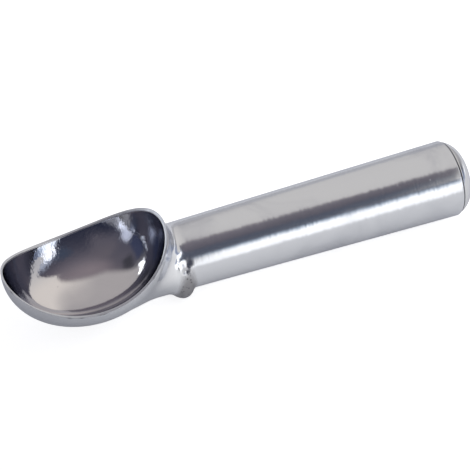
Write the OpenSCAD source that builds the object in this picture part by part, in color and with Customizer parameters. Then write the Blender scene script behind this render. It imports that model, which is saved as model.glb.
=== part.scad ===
// Ice cream scoop: one aluminium casting with an oval bowl and a hollow handle,
// closed by a domed cap that seals a heat-conducting liquid inside.
// The handle lies along X with the cap toward +X, the bowl opens toward +Z,
// and the part stands on z = 0. All sizes are in millimetres.

/* [Bowl] */
// Length of the bowl's egg at its widest level, inside the rim's wall
bowl_length = 59.8; // [45:0.2:80]
// Width of the bowl's egg at its widest level, inside the rim's wall
bowl_width = 43.6; // [34:0.2:60]
// Depth of the bowl's egg below its widest level, without the rim's wall
bowl_depth = 24; // [18:0.2:34]
// Thickness of the bowl's wall at the rim, from where it grows toward the bottom
bowl_wall = 1.4; // [1:0.1:2.4]
// Height of the bowl's widest level above the handle's axis
bowl_lift = 12.6; // [8:0.2:18]
// Radius of the rim's arc, seen from the side
rim_radius = 46.2; // [40:0.2:70]
// Height of the rim's lowest point above the handle's axis
rim_low = 4.9; // [2:0.1:9]
// Distance from the bowl's middle to the rim's lowest point, toward the tip
rim_low_shift = 5.1; // [0:0.1:9]
// Depth of the hollow's bottom below the rim's lowest point
hollow_depth = 11.3; // [7:0.1:13]
// Height above the hollow's bottom at which its sides would stand upright
hollow_rise = 43.6; // [34:0.2:60]
// Fullness of the hollow along the bowl, where 2 is an ellipse and more is squarer
fullness_along = 2.9; // [2:0.05:3.4]
// Fullness of the hollow across the bowl
fullness_across = 2.45; // [2:0.05:3]

/* [Neck and heel] */
// Distance from the back of the bowl to the start of the handle
neck_length = 8.2; // [6:0.1:14]
// How far the neck's round core reaches under the bowl from the start of the handle
neck_reach = 22.9; // [16:0.1:30]
// Softness of the blend between bowl and neck
neck_blend = 5.7; // [3:0.1:9]
// How far the heel stands below the start of the handle
heel_height = 3.6; // [2:0.1:5]
// Radius of the heel's rounding along the handle
heel_tube = 3.2; // [2.4:0.1:4.2]
// How far the heel's round is set below the handle's axis
heel_drop = 2.9; // [2:0.1:4]
// Distance from the heel's end to the start of the handle
heel_shoulder = 2; // [1.4:0.1:3]
// Softness of the blend between heel and handle
heel_blend = 1.2; // [0.5:0.1:2]
// Softness of the blend between heel and neck, on the bowl's side
heel_front_blend = 3.8; // [2:0.1:6]

/* [Handle] */
// Length of the handle from its start to the cap's seam
handle_length = 105.3; // [80:0.1:140]
// Handle diameter at its start
handle_start_d = 25.6; // [22:0.1:30]
// Handle diameter where its end begins to round
handle_end_d = 29; // [26:0.1:36]
// Thickness of the handle's wall
handle_wall = 3; // [2.4:0.1:4]
// Solid metal between the start of the handle and its bore
bore_start = 5; // [4:0.5:12]

/* [End cap] */
// Length of the cap's dome past the seam
cap_length = 5.6; // [4:0.1:7]
// Radius that rounds the end of the handle and the cap as one
end_round = 8; // [7.2:0.1:9]
// Depth of the fine groove along the seam
seam_depth = 0.35; // [0.2:0.05:0.6]
// Length of the spigot that goes into the handle
spigot_length = 9; // [6:0.5:16]
// How much wider than the bore the spigot's seat is, on the radius
seat_step = 0.5; // [0.2:0.1:0.8]
// Gap round the spigot, on the radius
spigot_clearance = 0.05; // [0.02:0.01:0.1]
// Gap between the spigot's end and the step of its seat
seat_clearance = 0.2; // [0.1:0.1:0.6]

/* [Seal] */
// Depth of the groove for the seal, on the radius
groove_depth = 1.6; // [1.2:0.1:2.2]
// Width of the groove for the seal
groove_width = 2.2; // [1.8:0.1:3]
// Distance from the seam to the groove
groove_inset = 3.2; // [2:0.1:4]
// Gap between the squeezed seal and the metal round it
seal_clearance = 0.03; // [0.01:0.01:0.08]

/* [Liquid] */
// Height of the liquid's surface above the handle's axis
fluid_level = 6; // [0:0.5:7.5]
// Gap between the liquid and the metal round it
fluid_clearance = 0.1; // [0.05:0.05:0.3]

/* [Hidden] */

// Fineness of the bowl's surfaces and of the round parts
rays = 64;
outer_rings = 40;
inner_rings = 16;
halvings = 15;
round_steps = 10;
$fn = 96;

// Cutters run past the faces they cut by this much
past = 1;
// The bowl's end stays this far inside the handle's start, and reaches this far into it
bowl_inset = 0.04;
bowl_overlap = 2;

// Half axes of the eggs that the rim's inner and outer edge lie on
inside_axes = [bowl_length / 2, bowl_width / 2, bowl_depth];
outside_axes = inside_axes + bowl_wall * [1, 1, 1];

// Middle of the bowl, seen from the start of the handle's axis
bowl_middle = [-neck_length - outside_axes.x, 0, bowl_lift];
rim_x = bowl_middle.x - rim_low_shift;

// Handle radii
start_r = handle_start_d / 2;
end_r = handle_end_d / 2;
total_end = handle_length + cap_length;
round_x = total_end - end_round;
taper = (end_r - start_r) / round_x;
function handle_r(x) = start_r + taper * x;

// Heel ring, a round set below the axis
heel_x = -heel_tube - heel_shoulder;
heel_ring = start_r + heel_height - heel_drop - heel_tube;

// Placing: the part's middle over the origin, its lowest point on z = 0
tip_x = bowl_middle.x - outside_axes.x;
axis_height = start_r + heel_height;
place = [-(tip_x + total_end) / 2, 0, axis_height];

// Bore, spigot seat and seal
function bore_r(x) = handle_r(x) - handle_wall;
seat_x = handle_length - spigot_length - seat_clearance;
seat_r = bore_r(seat_x) + seat_step;
spigot_r = seat_r - spigot_clearance;
groove_r = spigot_r - groove_depth;
groove_x = handle_length - groove_inset - groove_width;
seal_r = (seat_r - groove_r) / 2 - seal_clearance;

// A blend of two distances, soft where they come within k of each other
function soft_min(a, b, k) =
    let (h = max(0, min(1, 0.5 + 0.5 * (b - a) / k)))
    b + (a - b) * h - k * h * (1 - h);

// Distance from the outside of the egg-shaped bowl, negative inside it
function bowl_gap(p) =
    let (
        q = p - bowl_middle,
        u = [q.x / outside_axes.x, q.y / outside_axes.y, q.z / outside_axes.z],
        v = [u.x / outside_axes.x, u.y / outside_axes.y, u.z / outside_axes.z]
    )
    norm(u) * (norm(u) - 1) / norm(v);

// Distance from the neck, the handle's cone carried on with a round end
function neck_gap(p) =
    let (x = max(p.x, -neck_reach))
    norm([p.x - x, p.y, p.z]) - handle_r(x);

// Distance from the heel's ring
function heel_gap(p) =
    norm([p.x - heel_x, norm([p.y, p.z + heel_drop]) - heel_ring]) - heel_tube;

// Softness of the heel's blend, which grows from its crest toward the bowl
function heel_softness(x) =
    let (t = max(0, min(1, (heel_x - x) / heel_tube)))
    heel_blend + (heel_front_blend - heel_blend) * t * t * (3 - 2 * t);

// Distance from the whole outer body of bowl, neck and heel
function body_gap(p) =
    let (bowl_and_neck_gap = soft_min(bowl_gap(p), neck_gap(p), neck_blend))
    soft_min(bowl_and_neck_gap, heel_gap(p), heel_softness(p.x));

// Length of a ray from a point inside the body to its surface
function ray_length(from, way, low, high, n) =
    let (middle = (low + high) / 2)
    n == 0 ? middle
    : body_gap(from + middle * way) < 0 ? ray_length(from, way, middle, high, n - 1)
    : ray_length(from, way, low, middle, n - 1);

// Height of the rim's arc
function rim_z(x) =
    rim_low + rim_radius - sqrt(max(0, pow(rim_radius, 2) - pow(x - rim_x, 2)));

// Square of the half width, as a share, that an egg of these half axes has on the rim's arc
function rim_share(x, axes) =
    1 - pow((x - bowl_middle.x) / axes.x, 2) - pow((rim_z(x) - bowl_lift) / axes.z, 2);

// Where the rim's arc leaves the egg, between a point inside it and one outside
function rim_end(axes, inside, outside, n) =
    let (middle = (inside + outside) / 2)
    n == 0 ? inside
    : rim_share(middle, axes) > 0 ? rim_end(axes, middle, outside, n - 1)
    : rim_end(axes, inside, middle, n - 1);

// Closed loop where the rim's arc crosses an egg, from the back over the far side to the tip,
// with a flat and not a corner at the back and the tip, so that a flat faces down under the heel
function rim_loop(axes) =
    let (
        back = rim_end(axes, rim_x, bowl_middle.x + axes.x, 2 * halvings),
        tip = rim_end(axes, rim_x, bowl_middle.x - axes.x, 2 * halvings)
    )
    [
        for (j = [0:rays - 1])
        let (
            t = 360 * (j + 0.5) / rays,
            x = (back + tip) / 2 + (back - tip) / 2 * cos(t),
            half = axes.y * sqrt(max(0, rim_share(x, axes)))
        )
        [x, half * sign(sin(t)), rim_z(x)]
    ];

inner_rim = rim_loop(inside_axes);
outer_rim = rim_loop(outside_axes);

// Cutting planes turn about a line behind the rim's back, over the start of the handle
pivot = [0, 0, outer_rim[0].z + 2 * bowl_wall];
function plane_angle(p) = atan2(pivot.z - p.z, pivot.x - p.x);
middle_angle = plane_angle(bowl_middle);
middle_reach = norm(bowl_middle - pivot);

// Point on each plane that lies well inside the body
function spine(angle) =
    let (
        share = max(0, (angle - middle_angle) / (90 - middle_angle)),
        out = middle_reach + (pivot.z - middle_reach) * share
    )
    pivot + out * away(angle);
function away(angle) = [-cos(angle), 0, -sin(angle)];

// Turn of a rim point about its plane's inside point
function ray_turn(p) =
    let (angle = plane_angle(p), q = p - spine(angle))
    atan2(q.y, q * away(angle));

// Rings that lead from the rim to the start of the handle, closer together toward the heel
function ring_share(i) = let (u = i / outer_rings) u + 0.5 * u * (1 - u);
function outer_ring(i) =
    [
        for (p = outer_rim)
        let (
            angle = plane_angle(p) + (90 - plane_angle(p)) * ring_share(i),
            turn = ray_turn(p),
            way = cos(turn) * away(angle) + [0, sin(turn), 0]
        )
        i == 0 ? p
        : i == outer_rings ? spine(angle) + (start_r - bowl_inset) * way
        : spine(angle) + ray_length(spine(angle), way, 0, middle_reach, halvings) * way
    ];

// The hollow's bottom lies under the rim's lowest point
hollow_bottom = [rim_x, 0, rim_low - hollow_depth];
rise = max(hollow_rise, inner_rim[0].z - hollow_bottom.z + bowl_wall);

// Rings that lead from the rim to the bottom of the hollow, along a squarish ellipse from each rim point
function inner_ring(i) =
    [
        for (p = inner_rim)
        let (
            q = p - hollow_bottom,
            out = norm([q.x, q.y]),
            along = pow(q.x / out, 2),
            fullness = fullness_across + (fullness_along - fullness_across) * along,
            sweep = acos(pow(1 - q.z / rise, fullness / 2)),
            a = sweep * (1 - i / inner_rings),
            share = pow(sin(a) / sin(sweep), 2 / fullness)
        )
        i == 0 ? p
        : hollow_bottom + [share * q.x, share * q.y, rise * (1 - pow(cos(a), 2 / fullness))]
    ];

// Bowl and neck as one closed surface: handle end, outside, rim, inside, bottom of the hollow
module bowl_and_neck() {
    last = outer_ring(outer_rings);
    rings = [
        [for (p = last) p + [bowl_overlap, 0, 0]],
        last,
        for (i = [outer_rings - 1:-1:0]) outer_ring(i),
        for (i = [0:inner_rings - 1]) inner_ring(i)
    ];
    count = len(rings);
    points = [
        for (ring = rings) each ring,
        [bowl_overlap, 0, 0],
        hollow_bottom
    ];
    sides = [
        for (i = [0:count - 2], j = [0:rays - 1])
        let (k = (j + 1) % rays)
        each [
            [i * rays + j, (i + 1) * rays + j, (i + 1) * rays + k],
            [i * rays + j, (i + 1) * rays + k, i * rays + k]
        ]
    ];
    ends = [
        for (j = [0:rays - 1])
        let (k = (j + 1) % rays)
        each [
            [count * rays, j, k],
            [count * rays + 1, (count - 1) * rays + k, (count - 1) * rays + j]
        ]
    ];
    polyhedron(points, concat(sides, ends), convexity = 6);
}

// Turns an outline drawn as [radius, distance along the handle] about the handle's axis,
// with a flat and not a corner facing down, so that the scoop lies still
module turned() {
    rotate([90, 0, 90])
        rotate([0, 0, 180 / $fn])
            rotate_extrude()
                children();
}

// Radius of the rounded end at a distance along the handle
function round_r(x) = end_r - end_round + sqrt(max(0, pow(end_round, 2) - pow(x - round_x, 2)));

// Points on the rounded end between two places along the handle
function round_points(from, to) =
    let (
        a = asin((from - round_x) / end_round),
        b = asin(min(1, (to - round_x) / end_round))
    )
    [
        for (i = [0:round_steps])
        let (t = a + (b - a) * i / round_steps)
        [end_r - end_round + end_round * cos(t), round_x + end_round * sin(t)]
    ];

module handle_body() {
    turned()
        polygon(concat(
            [[0, 0], [start_r, 0]],
            round_points(round_x, handle_length - seam_depth),
            [[round_r(handle_length) - seam_depth, handle_length], [0, handle_length]]
        ));
}

module handle_bore() {
    turned()
        polygon([
            [0, bore_start],
            [bore_r(bore_start), bore_start],
            [bore_r(seat_x), seat_x],
            [seat_r, seat_x],
            [seat_r, handle_length + past],
            [0, handle_length + past]
        ]);
}

module scoop_casting() {
    color([0.78, 0.79, 0.81])
        translate(place)
            difference() {
                union() {
                    bowl_and_neck();
                    handle_body();
                }
                handle_bore();
            }
}

module end_cap() {
    color([0.72, 0.73, 0.75])
        translate(place)
            turned()
                polygon(concat(
                    [
                        [0, handle_length - spigot_length],
                        [spigot_r, handle_length - spigot_length],
                        [spigot_r, groove_x],
                        [groove_r, groove_x],
                        [groove_r, groove_x + groove_width],
                        [spigot_r, groove_x + groove_width],
                        [spigot_r, handle_length],
                        [round_r(handle_length) - seam_depth, handle_length]
                    ],
                    round_points(handle_length + seam_depth, total_end),
                    [[0, total_end]]
                ));
}

module cap_seal() {
    color([0.08, 0.08, 0.08])
        translate(place)
            turned()
                translate([(seat_r + groove_r) / 2, groove_x + groove_width / 2])
                    circle(r = seal_r);
}

module heat_fluid() {
    front = bore_start + fluid_clearance;
    back = handle_length - spigot_length - fluid_clearance;
    color([0.35, 0.6, 0.75])
        translate(place)
            difference() {
                turned()
                    polygon([
                        [0, front],
                        [bore_r(front) - fluid_clearance, front],
                        [bore_r(seat_x) - fluid_clearance, seat_x],
                        [bore_r(seat_x) - fluid_clearance, back],
                        [0, back]
                    ]);
                translate([front - past, -end_r, fluid_level])
                    cube([back - front + 2 * past, handle_end_d, end_r]);
            }
}

scoop_casting();
end_cap();
cap_seal();
heat_fluid();
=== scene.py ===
# %% [markdown]
# # A polished ice cream scoop
# The real scoop is one aluminium casting with an oval bowl, a short neck with
# a heel under it, and a thick hollow handle that a domed cap closes. This
# lesson dresses its CAD model: it keeps every size, makes the surfaces finer,
# and gives the metal its polish. First the imported model is loaded as a fixed
# frame.

# %% Load the frame
import math

import bpy
import numpy as np
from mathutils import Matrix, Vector


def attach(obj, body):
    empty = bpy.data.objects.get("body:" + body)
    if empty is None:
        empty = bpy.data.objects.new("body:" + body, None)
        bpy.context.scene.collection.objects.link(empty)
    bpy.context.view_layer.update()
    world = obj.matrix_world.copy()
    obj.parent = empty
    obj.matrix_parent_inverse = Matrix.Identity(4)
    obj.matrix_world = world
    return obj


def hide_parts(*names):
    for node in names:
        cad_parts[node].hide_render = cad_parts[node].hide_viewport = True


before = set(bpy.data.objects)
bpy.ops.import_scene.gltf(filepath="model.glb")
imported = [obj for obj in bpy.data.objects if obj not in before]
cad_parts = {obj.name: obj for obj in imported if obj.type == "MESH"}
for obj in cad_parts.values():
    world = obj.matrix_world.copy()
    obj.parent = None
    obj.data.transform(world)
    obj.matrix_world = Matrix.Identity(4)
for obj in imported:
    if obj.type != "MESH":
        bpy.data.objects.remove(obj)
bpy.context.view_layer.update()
scene = bpy.context.scene
scene.view_settings.view_transform = "Standard"


print("CAD nodes:", ", ".join(sorted(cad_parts)))

# %% [markdown]
# ## Camera
# A product photograph like this one is taken with a long lens from in front,
# a little to the bowl's side and well above the table. The viewing angle and
# the distance were solved from the outline of the handle and the rim, so the
# camera is placed by two angles, a distance and the point that it looks at.

# %% Camera
MM = 0.001
VIEW_AZIMUTH = math.radians(-22.78)
VIEW_ELEVATION = math.radians(43.44)
VIEW_TARGET = Vector((-1.73, 0.0, 18.67)) * MM
VIEW_DISTANCE = 916.63 * MM
FOCAL_PIXELS = 2500.0
IMAGE_PIXELS = 470.0
SENSOR_MM = 36.0

to_camera = Vector((
    math.sin(VIEW_AZIMUTH) * math.cos(VIEW_ELEVATION),
    -math.cos(VIEW_AZIMUTH) * math.cos(VIEW_ELEVATION),
    math.sin(VIEW_ELEVATION),
))
camera_lens = bpy.data.cameras.new("long_lens")
camera_lens.sensor_width = SENSOR_MM
camera_lens.lens = FOCAL_PIXELS * SENSOR_MM / IMAGE_PIXELS
camera = bpy.data.objects.new("long_lens", camera_lens)
camera.location = VIEW_TARGET + VIEW_DISTANCE * to_camera
camera.rotation_euler = (-to_camera).to_track_quat("-Z", "Y").to_euler()
scene.collection.objects.link(camera)
scene.camera = camera
print("Lens:", round(camera_lens.lens, 1), "mm")

# %% [markdown]
# ## The outside of the casting as a distance
# A casting has no hard inner corners: bowl, neck and heel flow into each other.
# Sculpting that flow by hand is slow to repeat, and joining separate meshes
# leaves creases. Here each form is a distance function that is negative inside
# the metal, and a soft minimum blends them, as fillets do in a casting mould.
# Sizes are in millimetres, seen from the start of the handle on its axis.

# %% Sizes of bowl, neck and heel
WALL = 1.4
INSIDE_AXES = np.array([29.9, 21.8, 24.0])
OUTSIDE_AXES = INSIDE_AXES + WALL
BOWL_MIDDLE = np.array([-39.5, 0.0, 12.6])
START_R, END_R = 12.8, 14.5
TOTAL_END, END_ROUND = 110.9, 8.0
ROUND_X = TOTAL_END - END_ROUND
NECK_REACH, NECK_BLEND = 22.9, 5.7
HEEL_TUBE, HEEL_X, HEEL_RING, HEEL_DROP = 3.2, -5.2, 10.3, 2.9
HEEL_BLEND, HEEL_FRONT_BLEND = 1.2, 3.8


def handle_radius(x):
    """Radius of the handle's cone, which widens evenly toward the cap."""
    return START_R + (END_R - START_R) * x / ROUND_X


print("Handle:", 2.0 * START_R, "mm across at the neck and", 2.0 * END_R, "mm at the cap")


# %% Distance functions
def soft_min(a, b, softness):
    """The smaller of two distances, rounded off where they are within softness of each other."""
    h = np.clip(0.5 + 0.5 * (b - a) / softness, 0.0, 1.0)
    return b + (a - b) * h - softness * h * (1.0 - h)


def bowl_gap(p):
    """Distance from an egg: its scaled radius less one, over the slope of that radius."""
    u = (p - BOWL_MIDDLE) / OUTSIDE_AXES
    size = np.linalg.norm(u, axis=-1)
    return size * (size - 1.0) / np.linalg.norm(u / OUTSIDE_AXES, axis=-1)


def neck_gap(p):
    """Distance from the handle's cone, carried on under the bowl with a round end."""
    x = np.maximum(p[..., 0], -NECK_REACH)
    off_axis = np.sqrt((p[..., 0] - x) ** 2 + p[..., 1] ** 2 + p[..., 2] ** 2)
    return off_axis - handle_radius(x)


def heel_gap(p):
    """Distance from a ring round the neck, set a little below the handle's axis."""
    out = np.hypot(p[..., 1], p[..., 2] + HEEL_DROP) - HEEL_RING
    return np.hypot(p[..., 0] - HEEL_X, out) - HEEL_TUBE


def bowl_and_neck_gap(p):
    """Soft minimum of bowl and neck."""
    return soft_min(bowl_gap(p), neck_gap(p), NECK_BLEND)


def body_gap(p):
    """Soft minimum of bowl, neck and heel. The heel's blend is softer toward the bowl."""
    t = np.clip((HEEL_X - p[..., 0]) / HEEL_TUBE, 0.0, 1.0)
    softness = HEEL_BLEND + (HEEL_FRONT_BLEND - HEEL_BLEND) * t * t * (3.0 - 2.0 * t)
    return soft_min(bowl_and_neck_gap(p), heel_gap(p), softness)


print("Distance inside the neck:", round(float(body_gap(np.array([-4.0, 0.0, 0.0]))), 2), "mm")

# %% [markdown]
# ## Grinding marks at the neck
# A belt can't reach into the neck, so a small wheel grinds it by hand and leaves
# shallow hollows, which break up the reflections there. Each mark is a soft
# dip: its depth fades with the square of the distance from its middle.

# %% Grinding marks
# Middle, reach and depth of each dip
DIPS = (
    ((-7.9, -10.0, 8.5), 1.1, 0.40),
    ((-5.3, -11.4, 6.0), 1.0, 0.36),
    ((-10.4, -9.9, 11.6), 1.2, 0.10),
    ((-5.95, -12.3, 3.8), 0.8, 0.60),
    ((-13.5, -12.6, 7.0), 1.8, 0.12),
    ((-7.2, 10.4, 8.0), 1.1, 0.38),
    ((-4.4, 11.8, 4.4), 1.0, 0.30),
    ((-10.9, 10.8, 9.6), 1.4, 0.14),
    ((-9.5, 5.5, 13.2), 1.1, 0.08),
    ((-6.2, 12.3, 3.4), 0.8, 0.55),
)


def ground_gap(p):
    """Distance from the body with the grinding marks taken out of it: each adds its depth
    times a bell curve of the distance from its middle."""
    gap = body_gap(p)
    for place, reach, depth in DIPS:
        gap = gap + depth * np.exp(-0.5 * ((p - np.array(place)) ** 2).sum(-1) / reach**2)
    return gap


print("Grinding marks:", len(DIPS), "and the deepest is", max(dip[2] for dip in DIPS), "mm")

# %% [markdown]
# ## The rim
# The rim is where a cylinder's arc, seen from the side, trims the egg-shaped
# bowl, so it dips between tip and neck like a saddle. Its wall is ground thin,
# thinnest at the tip. A ground edge is never sharp: it is broken by polishing.
# So the wall stops a little below the arc inside and out, and a rounded bead
# closes it up to the arc's full height.

# %% Rim loops
RIM_RADIUS, RIM_LOW, RIM_X = 46.2, 4.9, -44.6
RAYS = 256
RIM_EDGE = 0.45
RIM_WALL, TIP_THIN = 1.0, 0.2
RIM_HALVINGS = 50
loop_angle = 2.0 * np.pi * np.arange(RAYS) / RAYS


def rim_height(x, drop):
    """Height of the rim's arc, lowered by drop."""
    level = np.sqrt(np.maximum(RIM_RADIUS**2 - (x - RIM_X) ** 2, 0.0))
    return RIM_LOW - drop + RIM_RADIUS - level


def rim_share(x, axes, drop):
    """One less the squares of the arc's place along and across the egg: positive inside it."""
    across = (rim_height(x, drop) - BOWL_MIDDLE[2]) / axes[2]
    return 1.0 - ((x - BOWL_MIDDLE[0]) / axes[0]) ** 2 - across**2


def rim_end(axes, drop, side):
    """Place where the arc leaves the egg on one side, found by halving."""
    inside, outside = RIM_X, BOWL_MIDDLE[0] + side * axes[0]
    for _ in range(RIM_HALVINGS):
        middle = 0.5 * (inside + outside)
        if rim_share(middle, axes, drop) > 0:
            inside = middle
        else:
            outside = middle
    return inside


def rim_loop(axes, drop):
    """Loop round the egg on the arc: x swings as a cosine, y is the egg's width there."""
    back, tip = rim_end(axes, drop, 1.0), rim_end(axes, drop, -1.0)
    x = 0.5 * (back + tip) + 0.5 * (back - tip) * np.cos(loop_angle)
    half_width = axes[1] * np.sqrt(np.maximum(rim_share(x, axes, drop), 0.0))
    y = half_width * np.sign(np.sin(loop_angle))
    y[[0, RAYS // 2]] = 0.0
    return np.stack([x, y, rim_height(x, drop)], axis=-1)


def thinned(loop):
    """The inner loop moved out toward the tip, which is ground thinnest, by the square of the
    share of the way there."""
    x = loop[:, 0] - TIP_THIN * (0.5 - 0.5 * np.cos(loop_angle)) ** 2
    return np.stack([x, loop[:, 1], rim_height(x, 0.0)], axis=-1)


outer_rim, full_rim = rim_loop(OUTSIDE_AXES, 0.0), rim_loop(INSIDE_AXES, 0.0)
inner_rim = thinned(rim_loop(OUTSIDE_AXES - RIM_WALL, 0.0))
outer_edge = rim_loop(OUTSIDE_AXES, RIM_EDGE)
print("Rim from x", outer_rim[:, 0].min().round(2), "to", outer_rim[:, 0].max().round(2), "mm")

# %% [markdown]
# ## The hollow of the bowl
# The wall is thin at the rim and thickens toward the bottom, so the hollow is
# shallower than the outside. A UV sphere cut by the rim would leave ragged
# faces along the edge. So each ray of the rim runs down a squarish ellipse to
# the bottom, where all of them meet in one pole under the rim's lowest point.
# Close under the rim the ellipse flares out to meet the thin ground edge.

# %% Rows of the hollow
HOLLOW_STEPS = 84
HOLLOW_DEPTH = 11.3
HOLLOW_BOTTOM = np.array([RIM_X, 0.0, RIM_LOW - HOLLOW_DEPTH])
HOLLOW_RISE, FULL_ALONG, FULL_ACROSS = 43.6, 2.9, 2.45
LIP_POWER = 7.0
to_rim, lip = full_rim - HOLLOW_BOTTOM, inner_rim - full_rim
along_share = to_rim[:, 0] ** 2 / (to_rim[:, 0] ** 2 + to_rim[:, 1] ** 2)
fullness = FULL_ACROSS + (FULL_ALONG - FULL_ACROSS) * along_share


def hollow_points(height):
    """Points of the squarish ellipse through each rim point: the share of the way out
    and the height still missing to the upright level, both to the power of the
    fullness, add up to one. A high power of the share flares the top out to the thin lip."""
    out = (1.0 - (1.0 - height / HOLLOW_RISE) ** fullness) ** (1.0 / fullness)
    rim_out = (1.0 - (1.0 - to_rim[:, 2] / HOLLOW_RISE) ** fullness) ** (1.0 / fullness)
    share = out / rim_out
    flare = share**LIP_POWER
    x, y = share * to_rim[:, 0] + flare * lip[:, 0], share * to_rim[:, 1] + flare * lip[:, 1]
    return HOLLOW_BOTTOM + np.stack([x, y, height + 0.0 * share], axis=-1)


edge_height = inner_rim[:, 2] - HOLLOW_BOTTOM[2] - RIM_EDGE
inner_edge = hollow_points(edge_height)
edge_turn = np.arccos((1.0 - edge_height / HOLLOW_RISE) ** (fullness / 2.0))
row_turn = edge_turn * (1.0 - np.arange(HOLLOW_STEPS) / HOLLOW_STEPS)[:, None]
inner_rows = hollow_points(HOLLOW_RISE * (1.0 - np.cos(row_turn) ** (2.0 / fullness)))
print("Hollow rows:", inner_rows.shape)
print("Depth below the rim's lowest point:", HOLLOW_DEPTH, "mm")

# %% Rounded bead
BEAD_STEPS, BEAD_SQUARENESS = 30, 4.2
# Place across the bead and depth of each line, as shares of its half width and height
BEAD_LINES = ((-0.55, 0.07), (0.0, 0.10), (0.48, 0.08))
BEAD_LINE_WIDTH = 0.13


def rim_bead():
    """Half a rounded square carried round the rim, from the outer edge over the arc to the inner
    edge. Its radius at each turn is one over a high-power mean of the turn's cosine and sine.
    Shallow lines run along it, as a belt leaves them."""
    turn = np.linspace(0.0, np.pi, BEAD_STEPS + 2)[1:-1, None, None]
    power = np.abs(np.cos(turn)) ** BEAD_SQUARENESS + np.sin(turn) ** BEAD_SQUARENESS
    reach = power ** (-1.0 / BEAD_SQUARENESS)
    across, up = reach * np.cos(turn), reach * np.sin(turn)
    for place, depth in BEAD_LINES:
        up = up - depth * np.exp(-(((across - place) / BEAD_LINE_WIDTH) ** 2))
    low_middle, high_middle = 0.5 * (outer_edge + inner_edge), 0.5 * (outer_rim + inner_rim)
    half_wall = 0.5 * (outer_edge - inner_edge)
    return low_middle + half_wall * across + (high_middle - low_middle) * up


bead_rows = rim_bead()
print("Bead rows:", len(bead_rows), "and wall at the rim:",
      np.linalg.norm(outer_edge - inner_edge, axis=-1).round(2).min(), "mm and more")

# %% [markdown]
# ## Outside rows
# The outside is a grid: one parameter goes round the rim, the other swings a
# cutting plane from the rim down under the bowl to the start of the handle.
# In each plane a ray runs from a point well inside the metal, and halving the
# ray finds the place where the distance is zero, for all rays at once.

# %% Swing the planes from the rim to the handle
QUARTER_TURN = 0.5 * np.pi
pivot = np.array([0.0, 0.0, outer_rim[0, 2] + 2.0 * WALL])


def plane_angle(p):
    """Angle of the cutting plane through a point, about a line over the handle's start."""
    return np.arctan2(pivot[2] - p[..., 2], pivot[0] - p[..., 0])


middle_angle = plane_angle(BOWL_MIDDLE)
middle_reach = np.linalg.norm(BOWL_MIDDLE - pivot)


def away(angle):
    """Direction in the upright plane, away from the pivot."""
    return np.stack([-np.cos(angle), 0.0 * angle, -np.sin(angle)], axis=-1)


def spine(angle):
    """Point inside the metal on each plane, from the bowl's middle to the handle's axis."""
    share = np.maximum(0.0, (angle - middle_angle) / (QUARTER_TURN - middle_angle))
    reach = middle_reach + (pivot[2] - middle_reach) * share
    return pivot + reach[..., None] * away(angle)


edge_angle = plane_angle(outer_edge)
from_spine = outer_edge - spine(edge_angle)
ray_turn = np.arctan2(from_spine[:, 1], (from_spine * away(edge_angle)).sum(-1))
print("Widest step between rays on the handle:",
      round(float(np.degrees(np.abs(np.diff(np.unwrap(ray_turn))).max())), 2), "degrees")

# %% Rows of the outside
OUTSIDE_STEPS, RAY_HALVINGS = 168, 40
CROWDING = 0.5
# The start of the handle's axis in the frame
PLACE = np.array([-20.05, 0.0, 16.4])


def outside_rows():
    """Points where rays from the spine leave the body, one row for each cutting plane.
    The planes crowd together toward the handle."""
    u = np.linspace(0.0, 1.0, OUTSIDE_STEPS + 1)[:, None]
    angle = edge_angle + (QUARTER_TURN - edge_angle) * (u + CROWDING * u * (1.0 - u))
    start = spine(angle)
    way = np.cos(ray_turn)[None, :, None] * away(angle)
    way[..., 1] += np.sin(ray_turn)
    low, high = np.zeros(angle.shape), np.full(angle.shape, middle_reach)
    for _ in range(RAY_HALVINGS):
        middle = 0.5 * (low + high)
        inside = ground_gap(start + middle[..., None] * way) < 0.0
        low, high = np.where(inside, middle, low), np.where(inside, high, middle)
    rows = start + low[..., None] * way
    rows[0] = outer_edge
    return rows


outer_rows = outside_rows()
print("Outside rows:", outer_rows.shape, "lowest at",
      round(float(outer_rows[..., 2].min() + PLACE[2]), 3), "mm")

# %% [markdown]
# ## Handle and bore
# The handle is turned round its axis: the outside cone, its end edge that is
# broken at the fine groove of the cap's seam, the seat of the cap and the long
# bore that holds the liquid. Using the bowl's own rays for the turning keeps
# one grid from the bore to the bottom of the hollow, so no line shows at the
# neck.

# %% Turned rows
SEAM_X, SEAM_DEPTH, SEAM_EDGE = 105.3, 0.35, 0.12
EDGE_ROUND, EDGE_TURN = 0.6, math.radians(60.0)
BORE_START, HANDLE_WALL = 5.0, 3.0
SEAT_X, SEAT_STEP = 96.1, 0.5
HANDLE_STEPS, ROUND_STEPS = 44, 10
bore_r = handle_radius(np.array([BORE_START, SEAT_X])) - HANDLE_WALL
seat_r = bore_r[1] + SEAT_STEP


def end_profile(x):
    """Radius of the rounded end: a quarter circle that starts where the cone stops."""
    return END_R - END_ROUND + np.sqrt(END_ROUND**2 - (x - ROUND_X) ** 2)


def turned_rows(profile, turn):
    """Each (place, radius) of a profile, carried round the handle's axis."""
    x, r = profile[:, 0, None], profile[:, 1, None]
    return np.stack([x + 0.0 * turn, r * np.sin(turn), -r * np.cos(turn)], axis=-1)


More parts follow.
